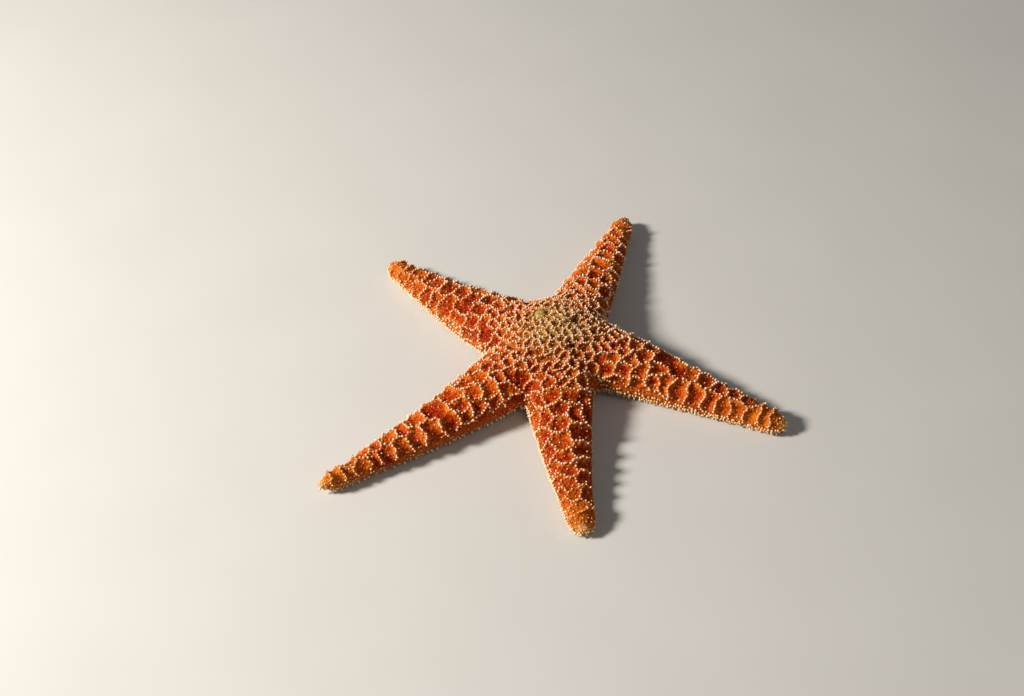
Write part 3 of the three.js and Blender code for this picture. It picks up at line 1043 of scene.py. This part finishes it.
def jitter(points, normals, amount):
    """Moves points a little at random along the skin."""
    move = rng.normal(0, 1, points.shape) * np.asarray(amount)[..., None]
    return points + move - normals * (move * normals).sum(axis=1)[:, None]


def lean_out(normals, spread, toward=None):
    aims = normals + rng.normal(0, 1, normals.shape) * spread
    return unit(aims if toward is None else aims + toward)


def down_to_floor(roots, aims, wanted, height):
    """Lengths cut so that no spine goes through the floor."""
    drop = np.maximum(-aims[:, 2], 0.05)
    return np.minimum(wanted, (roots[:, 2] - 0.1) / (drop * height))


def share_out(name, roots, aims, girth, tall, tint, material, **sizes):
    """One piece of spines for the disc and one for each arm."""
    number = body_place(roots)[0]
    owner = np.where(np.hypot(roots[:, 0], roots[:, 1]) < DISC_CHART, 0, number + 1)
    for i, place in enumerate(("disc", *ARMS)):
        here = owner == i
        if here.any():
            piece = stand_clubs(f"{place}_{name}", roots[here], aims[here], girth[here],
                                tall[here], tint[here], material, **sizes)
            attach(piece, "root")


# ---- The spines of the net ----

def net_spines(points, faces, nearest, material):
    """Chains of spines along the ridges of the net."""
    spots, strength = ridge_lines(points, faces, nearest)
    normals = unit(outward(spots))
    weight = net_weight(spots, normals)
    _, share, _, disc = body_place(spots)
    shown = (strength > 0.4) & (weight > 0.3) & (spots[:, 2] > 4.0)
    shown &= np.linalg.norm(spots - SIEVE_PLACE, axis=1) > SIEVE_RADIUS + 0.5
    shown &= pocket_share(spots) < 0.4
    strength, spots, normals, disc, share = (
        v[shown] for v in (strength, spots, normals, disc, share))
    gap = mix(RIDGE_GAP, DISC_GAP, disc) * mix(1.0, 0.82, smooth(0.75, 1.0, share))
    gap = gap * mix(1.15, 0.75, smooth(0.8, 1.1, strength))
    kept = spread_out(spots, gap * rng.uniform(0.9, 1.15, len(gap)))
    spots, normals, disc, share = (v[kept] for v in (spots, normals, disc, share))
    spots = settle(jitter(spots, normals, mix(0.17, 0.24, disc)), 1)
    roots, normals = skin_place(spots)
    girth = rng.uniform(0.64, 1.08, len(roots)) * mix(1.0, 0.7, disc)
    girth = girth * mix(1.0, 0.75, smooth(0.65, 1.0, share))
    tall = girth * rng.uniform(0.9, 1.15, len(roots))
    tint = clamp01(rng.normal(0.25, 0.25, len(roots)) + 0.5 * smooth(0.6, 1.0, share))
    share_out("net_spines", roots, lean_out(normals, 0.1), girth, tall, tint, material)
    return spots


def stray_spines(points, taken, material):
    """Small spines that stand alone inside the meshes of the net."""
    normals = unit(outward(points))
    weight = net_weight(points, normals)
    order = rng.permutation(np.flatnonzero(weight > 0.35))
    spots = points[order]
    _, _, _, disc = body_place(spots)
    gap = mix(3.0, 2.2, disc) * rng.uniform(0.8, 1.5, len(spots))
    apart = np.linalg.norm(spots - SIEVE_PLACE, axis=1) > SIEVE_RADIUS + 0.4
    apart &= pocket_share(spots) < 0.4
    spots, gap, disc = spots[apart], gap[apart], disc[apart]
    kept = spread_out(spots, gap, taken, 0.95)
    spots, disc = spots[kept], disc[kept]
    roots, normals = skin_place(spots)
    girth = rng.uniform(0.42, 0.75, len(roots)) * mix(1.0, 0.75, disc)
    tint = clamp01(rng.normal(0.45, 0.25, len(roots)))
    share_out("stray_spines", roots, lean_out(normals, 0.12), girth, girth * 0.95, tint,
              material)


def flank_spines(material):
    """Rows along the flanks: crowded at the lower margin, sparse above it."""
    rows = []
    for name, arm in ARMS.items():
        spots = []
        for side, full in zip((-1, 1), arm["margin"]):
            for around, gap, skip in FLANK_ROWS:
                along = np.arange(20.0, arm["reach"] - 0.4, gap * 0.5)
                along = along + rng.normal(0, gap * 0.04, len(along))
                wave = around + 0.02 * np.sin(along * 0.9 + side)
                row = settle(on_arm(arm, along, side * wave), 3)
                chosen = rng.random(len(row)) < (1 - skip) * full
                kept = spread_out(row, np.full(len(row), gap))
                spots.append(row[kept[chosen[kept]]])
        spots = np.concatenate(spots)
        number = body_place(spots)[0]
        own = (np.array(list(ARMS))[number] == name) & (np.abs(body_depth(spots)) < 0.2)
        spots = spots[own]
        spots = spots[spread_out(spots, np.full(len(spots), 0.85))]
        roots, normals = skin_place(settle(jitter(spots, unit(outward(spots)), 0.12)))
        full = across_arm(roots, body_place(roots)[0], "margin")
        girth = rng.uniform(0.7, 1.0, len(roots)) * mix(0.7, 1.1, full)
        pale = smooth(0.85, 1.0, full)
        tint = clamp01(rng.normal(0.0, 0.25, len(roots)) + mix(0.85, 0.35, pale))
        aims = lean_out(normals, 0.12)
        tall = down_to_floor(roots, aims, girth, SPINE_TALL)
        piece = stand_clubs(name + "_flank_spines", roots, aims, girth, tall, tint, material)
        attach(piece, "root")
        rows.append(spots)
    return np.concatenate(rows)


def tip_spines(points, taken, material):
    """Crowded small spines over the blunt ends of the arms."""
    for name, arm in ARMS.items():
        along, side = arm_place(arm, points)
        end = (along > arm["reach"] - 4.5) & (np.abs(side) < 9.0) & (points[:, 2] > 1.6)
        order = rng.permutation(np.flatnonzero(end))
        spots = points[order]
        spots = spots[spread_out(spots, rng.uniform(1.2, 1.9, len(spots)), taken, 0.9)]
        roots, normals = skin_place(spots)
        girth = rng.uniform(0.36, 0.6, len(roots))
        tint = clamp01(rng.normal(0.9, 0.2, len(roots)))
        piece = stand_clubs(name + "_end_spines", roots, lean_out(normals, 0.1), girth,
                            girth * 1.2, tint, material)
        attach(piece, "root")


# ---- Underside: sole spines, groove spines, tube feet and mouth ----

def sole_spines(points, material):
    """Stout spines over the sole, clear of the grooves and the mouth."""
    normals = unit(outward(points))
    radius = np.hypot(points[:, 0], points[:, 1])
    away = np.min([-groove_depth(arm, points) for arm in ARMS.values()], axis=0)
    bare = (normals[:, 2] > -0.6) | (away < 1.9) | (radius < MOUTH_RADIUS + 2.5)
    order = rng.permutation(np.flatnonzero(~bare))
    spots = points[order]
    spots = spots[spread_out(spots, np.full(len(spots), 1.75))]
    aims = lean_out(unit(outward(spots)), 0.12)
    tall = down_to_floor(spots, aims, rng.uniform(1.2, 1.6, len(spots)), SPINE_TALL)
    tint = clamp01(rng.normal(0.5, 0.3, len(spots)))
    share_out("sole_spines", spots, aims, rng.uniform(0.75, 1.0, len(spots)), tall, tint,
              material)


def groove_rows(arm, offset, gap, rise=0.0):
    """Points along both sides of an arm's groove, with the direction across it to its middle."""
    along = np.arange(MOUTH_RADIUS + 2.0, arm["reach"] - NOSE / 2, gap)
    share = (along - GROOVE_START) / (arm["reach"] - NOSE / 2 - GROOVE_START)
    forward, left = arm_axes(arm)
    spots = []
    inward = []
    for side in (-1, 1):
        place = side * offset(mix(*GROOVE_HALF, share)) + arm_bow(arm, along / arm["reach"])
        height = sole_under(arm, along) + rise * mix(*GROOVE_DEPTH, share)
        flat = np.multiply.outer(along, forward) + np.multiply.outer(place, left)
        spots.append(np.concatenate([flat, height[:, None]], axis=1))
        inward.append(np.tile([*(-side * left), 0.0], (len(along), 1)))
    return np.concatenate(spots), np.concatenate(inward)


def groove_spines(material):
    """Two rows on each side of the grooves: slim ones that lean over it, stout ones behind."""
    roots, aims, girth, tall = [], [], [], []
    for arm in ARMS.values():
        for beyond, gap, lean, wide, long in GROOVE_ROWS:
            spots, inward = groove_rows(arm, lambda half: half + beyond, gap)
            spots = settle(spots + [0.0, 0.0, SOLE_SINK], 3)
            away = np.min([-groove_depth(other, spots) for other in ARMS.values()], axis=0)
            good = away > 0.1
            spots, inward = spots[good], inward[good]
            aim = lean_out(inward * lean - [0.0, 0.0, 1.0], 0.1)
            roots.append(spots)
            aims.append(aim)
            girth.append(wide * rng.uniform(0.85, 1.15, len(spots)))
            wanted = long * rng.uniform(0.85, 1.1, len(spots))
            tall.append(down_to_floor(spots, aim, wanted, SPINE_TALL))
    roots, aims, girth, tall = (np.concatenate(v) for v in (roots, aims, girth, tall))
    share_out("groove_spines", roots, aims, girth, tall, rng.uniform(0.2, 0.8, len(roots)),
              material)


def tube_feet(material):
    """Four rows of feet in each groove, each with its sucker near the floor."""
    roots, aims = [], []
    for arm in ARMS.values():
        for inset, rise in FOOT_ROWS:
            spots, inward = groove_rows(arm, lambda half: half * inset, FOOT_GAP, rise)
            spots = settle(jitter(spots, np.zeros_like(spots), 0.1), 3)
            roots.append(spots)
            aims.append(lean_out(inward * -0.1 - [0.0, 0.0, 1.0], 0.16))
    roots, aims = np.concatenate(roots), np.concatenate(aims)
    far = roots[:, 2] - underside(np.hypot(roots[:, 0], roots[:, 1])) * 0.55
    wanted = np.maximum(far * rng.uniform(0.75, 1.0, len(roots)), 1.0) / FOOT_TALL
    tall = down_to_floor(roots, aims, wanted, FOOT_TALL)
    share_out("tube_feet", roots, aims, rng.uniform(0.85, 1.1, len(roots)), tall,
              rng.uniform(0, 1, len(roots)), material, Width=0.00095, Height=FOOT_TALL * MM,
              Neck=0.6, Head=0.8, Rings=7)


def mouth_jaws(jaw, spine):
    """A ring round the mouth that swells into five jaws, one between each pair of arms."""
    headings = sorted(math.radians(arm["heading"]) for arm in ARMS.values())
    between = [(a + b) / 2 for a, b in zip(headings, headings[1:] + [headings[0] + 2 * math.pi])]
    sides, steps = 150, 28
    points = []
    for i in range(sides):
        angle = 2 * math.pi * i / sides
        apart = min(abs(math.remainder(angle - middle, 2 * math.pi)) for middle in between)
        swell = math.exp(-(apart / 0.3) ** 2)
        cleft = 1 - 0.12 * math.exp(-(apart / 0.035) ** 2)
        inner = 4.0 - 1.75 * swell
        outer = MOUTH_RADIUS - 0.25
        for j in range(steps):
            turn = 2 * math.pi * j / steps
            across = math.copysign(abs(math.cos(turn)) ** 0.8, math.cos(turn))
            tall = math.copysign(abs(math.sin(turn)) ** 0.8, math.sin(turn))
            radius = (inner + outer) / 2 + (outer - inner) / 2 * across
            height = 7.3 + (1.0 + 0.75 * swell * cleft) * tall
            points.append((radius * math.cos(angle), radius * math.sin(angle), height))
    faces = []
    for i in range(sides):
        for j in range(steps):
            a, b = i * steps, (i + 1) % sides * steps
            k = (j + 1) % steps
            faces.append((a + j, b + j, b + k, a + k))
    piece = make_mesh("mouth_jaws", points, faces)
    piece.data.materials.append(jaw)
    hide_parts("mouth_frame")
    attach(piece, "root")

    roots, aims = [], []
    for middle in between:
        for radius, spread, count in JAW_SPINES:
            for turn in np.linspace(-spread, spread, count):
                out = np.array([math.cos(middle + turn), math.sin(middle + turn), 0.0])
                roots.append(radius * out + [0.0, 0.0, 6.0 if radius > 3 else 6.3])
                aims.append(-0.8 * out - [0.0, 0.0, 1.0])
    roots, aims = np.array(roots), unit(np.array(aims))
    piece = stand_clubs("mouth_spines", roots, lean_out(aims, 0.08), np.full(len(roots), 0.75),
                        rng.uniform(1.6, 2.2, len(roots)), rng.uniform(0, 0.6, len(roots)), spine)
    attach(piece, "root")


# ---- The sieve plate ----

def sieve_plate(material):
    """A low round plate with furrows that run out from its middle and wander."""
    up = unit(outward(SIEVE_PLACE[None]))[0]
    across = unit(np.cross(up, [0.0, 1.0, 0.0]))
    beyond = np.cross(up, across)
    rings, sides = 26, 96
    points = []
    for ring in range(rings + 1):
        share = ring / rings
        for side in range(sides):
            angle = 2 * math.pi * side / sides
            wobble = 0.05 * math.sin(3 * angle + 1) + 0.03 * math.sin(7 * angle)
            edge = SIEVE_RADIUS * (1 + wobble)
            sway = 0.35 * math.sin(9 * share + 2 * math.sin(3 * angle))
            furrow = math.sin(14 * (angle + sway)) * min(1.0, 3 * share) * (share < 0.93)
            height = 0.85 * (1 - share ** 3.2) ** 0.8 + 0.13 * furrow * (1 - share ** 6)
            radius = edge * share
            points.append(SIEVE_PLACE + radius * math.cos(angle) * across
                          + radius * math.sin(angle) * beyond + (height - 0.25) * up)
    faces = []
    for ring in range(rings):
        for side in range(sides):
            a = ring * sides + side
            b = ring * sides + (side + 1) % sides
            face = (a, a + sides, b + sides, b)
            faces.append(face if ring else (a, a + sides, b + sides))
    skirt = len(points)
    for side in range(sides):
        points.append(points[rings * sides + side] - 0.8 * up)
    for side in range(sides):
        a = rings * sides + side
        b = rings * sides + (side + 1) % sides
        faces.append((a, skirt + side, skirt + (side + 1) % sides, b))
    faces.append(tuple(skirt + side for side in reversed(range(sides))))
    piece = make_mesh("sieve_plate", points, faces)
    piece.data.materials.append(material)
    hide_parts("madreporite")
    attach(piece, "root")


# ---- Studio ----

def turned(right, up, back):
    """A rotation whose own axes are the three given."""
    return Matrix(np.stack([right, up, back], axis=1).tolist()).to_quaternion()


def make_camera():
    """Looks down at the star, turned a little aside so that it stands right of the middle."""
    tilt = math.radians(CAMERA_TILT)
    back = np.array([0.0, -math.cos(tilt), math.sin(tilt)])
    right = np.array([1.0, 0.0, 0.0])
    up = np.cross(back, right)
    turned_back = unit(back * CAMERA_FOCAL + CAMERA_ASIDE * right - CAMERA_ABOVE * up)
    right = unit(right - turned_back * (right @ turned_back))
    data = bpy.data.cameras.new("camera")
    data.sensor_width = CAMERA_SENSOR
    data.lens = CAMERA_FOCAL * CAMERA_SENSOR / IMAGE_WIDTH
    data.clip_start = 0.01
    camera = bpy.data.objects.new("camera", data)
    camera.location = DISC_CENTRE * MM + CAMERA_AWAY * back
    camera.rotation_mode = "QUATERNION"
    camera.rotation_quaternion = turned(right, np.cross(turned_back, right), turned_back)
    bpy.context.scene.collection.objects.link(camera)
    bpy.context.scene.camera = camera


def make_light(name, place, size, power, colour):
    data = bpy.data.lights.new(name, "AREA")
    data.shape = "DISK"
    data.size = size
    data.energy = power
    data.color = colour
    light = bpy.data.objects.new(name, data)
    light.location = place
    light.rotation_mode = "QUATERNION"
    light.rotation_quaternion = Vector(place).to_track_quat("Z", "Y")
    bpy.context.scene.collection.objects.link(light)


def make_studio():
    make_light("key", (-0.95, -0.18, 0.68), 0.22, 22.0, (1.0, 0.95, 0.88))
    make_light("fill", (0.35, -0.5, 1.1), 0.9, 1.0, (1.0, 0.98, 0.95))
    world = bpy.data.worlds.new("pale room")
    world.use_nodes = True
    background = world.node_tree.nodes["Background"]
    background.inputs["Color"].default_value = (0.97, 0.97, 0.97, 1.0)
    background.inputs["Strength"].default_value = 0.12
    bpy.context.scene.world = world
    bpy.context.scene.view_settings.view_transform = "Standard"
    board = Finish("pale floor", 0.75)
    tone = board.blend(board.grain(0.05), paint(200, 198, 194), paint(207, 205, 201))
    mesh = bpy.data.meshes.new("floor")
    mesh.from_pydata([(-3, -3, 0), (3, -3, 0), (3, 3, 0), (-3, 3, 0)], [], [(0, 1, 2, 3)])
    mesh.materials.append(board.finish(tone))
    floor = bpy.data.objects.new("floor", mesh)
    bpy.context.scene.collection.objects.link(floor)


# ---- The star ----

make_camera()
make_studio()
skin, skin_points, skin_faces, skin_nearest = make_skin()
skin.data.materials.append(skin_finish())
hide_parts("disc", *ARMS, *(name + "_tip" for name in ARMS))
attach(skin, "root")
sieve_plate(plate_finish())

bead = spine_finish("spines", paint(206, 106, 36), paint(244, 218, 186), paint(238, 182, 106))
standing = net_spines(skin_points, skin_faces, skin_nearest, bead)
stray_spines(skin_points, standing, bead)
rows = flank_spines(bead)
tip_spines(skin_points, np.concatenate([standing, rows]), bead)
pale = spine_finish("sole spines", paint(222, 170, 104), paint(244, 222, 182),
                    paint(240, 204, 150))
sole_spines(skin_points, pale)
groove_spines(pale)
tube_feet(foot_finish())
mouth_jaws(jaw_finish(), pale)
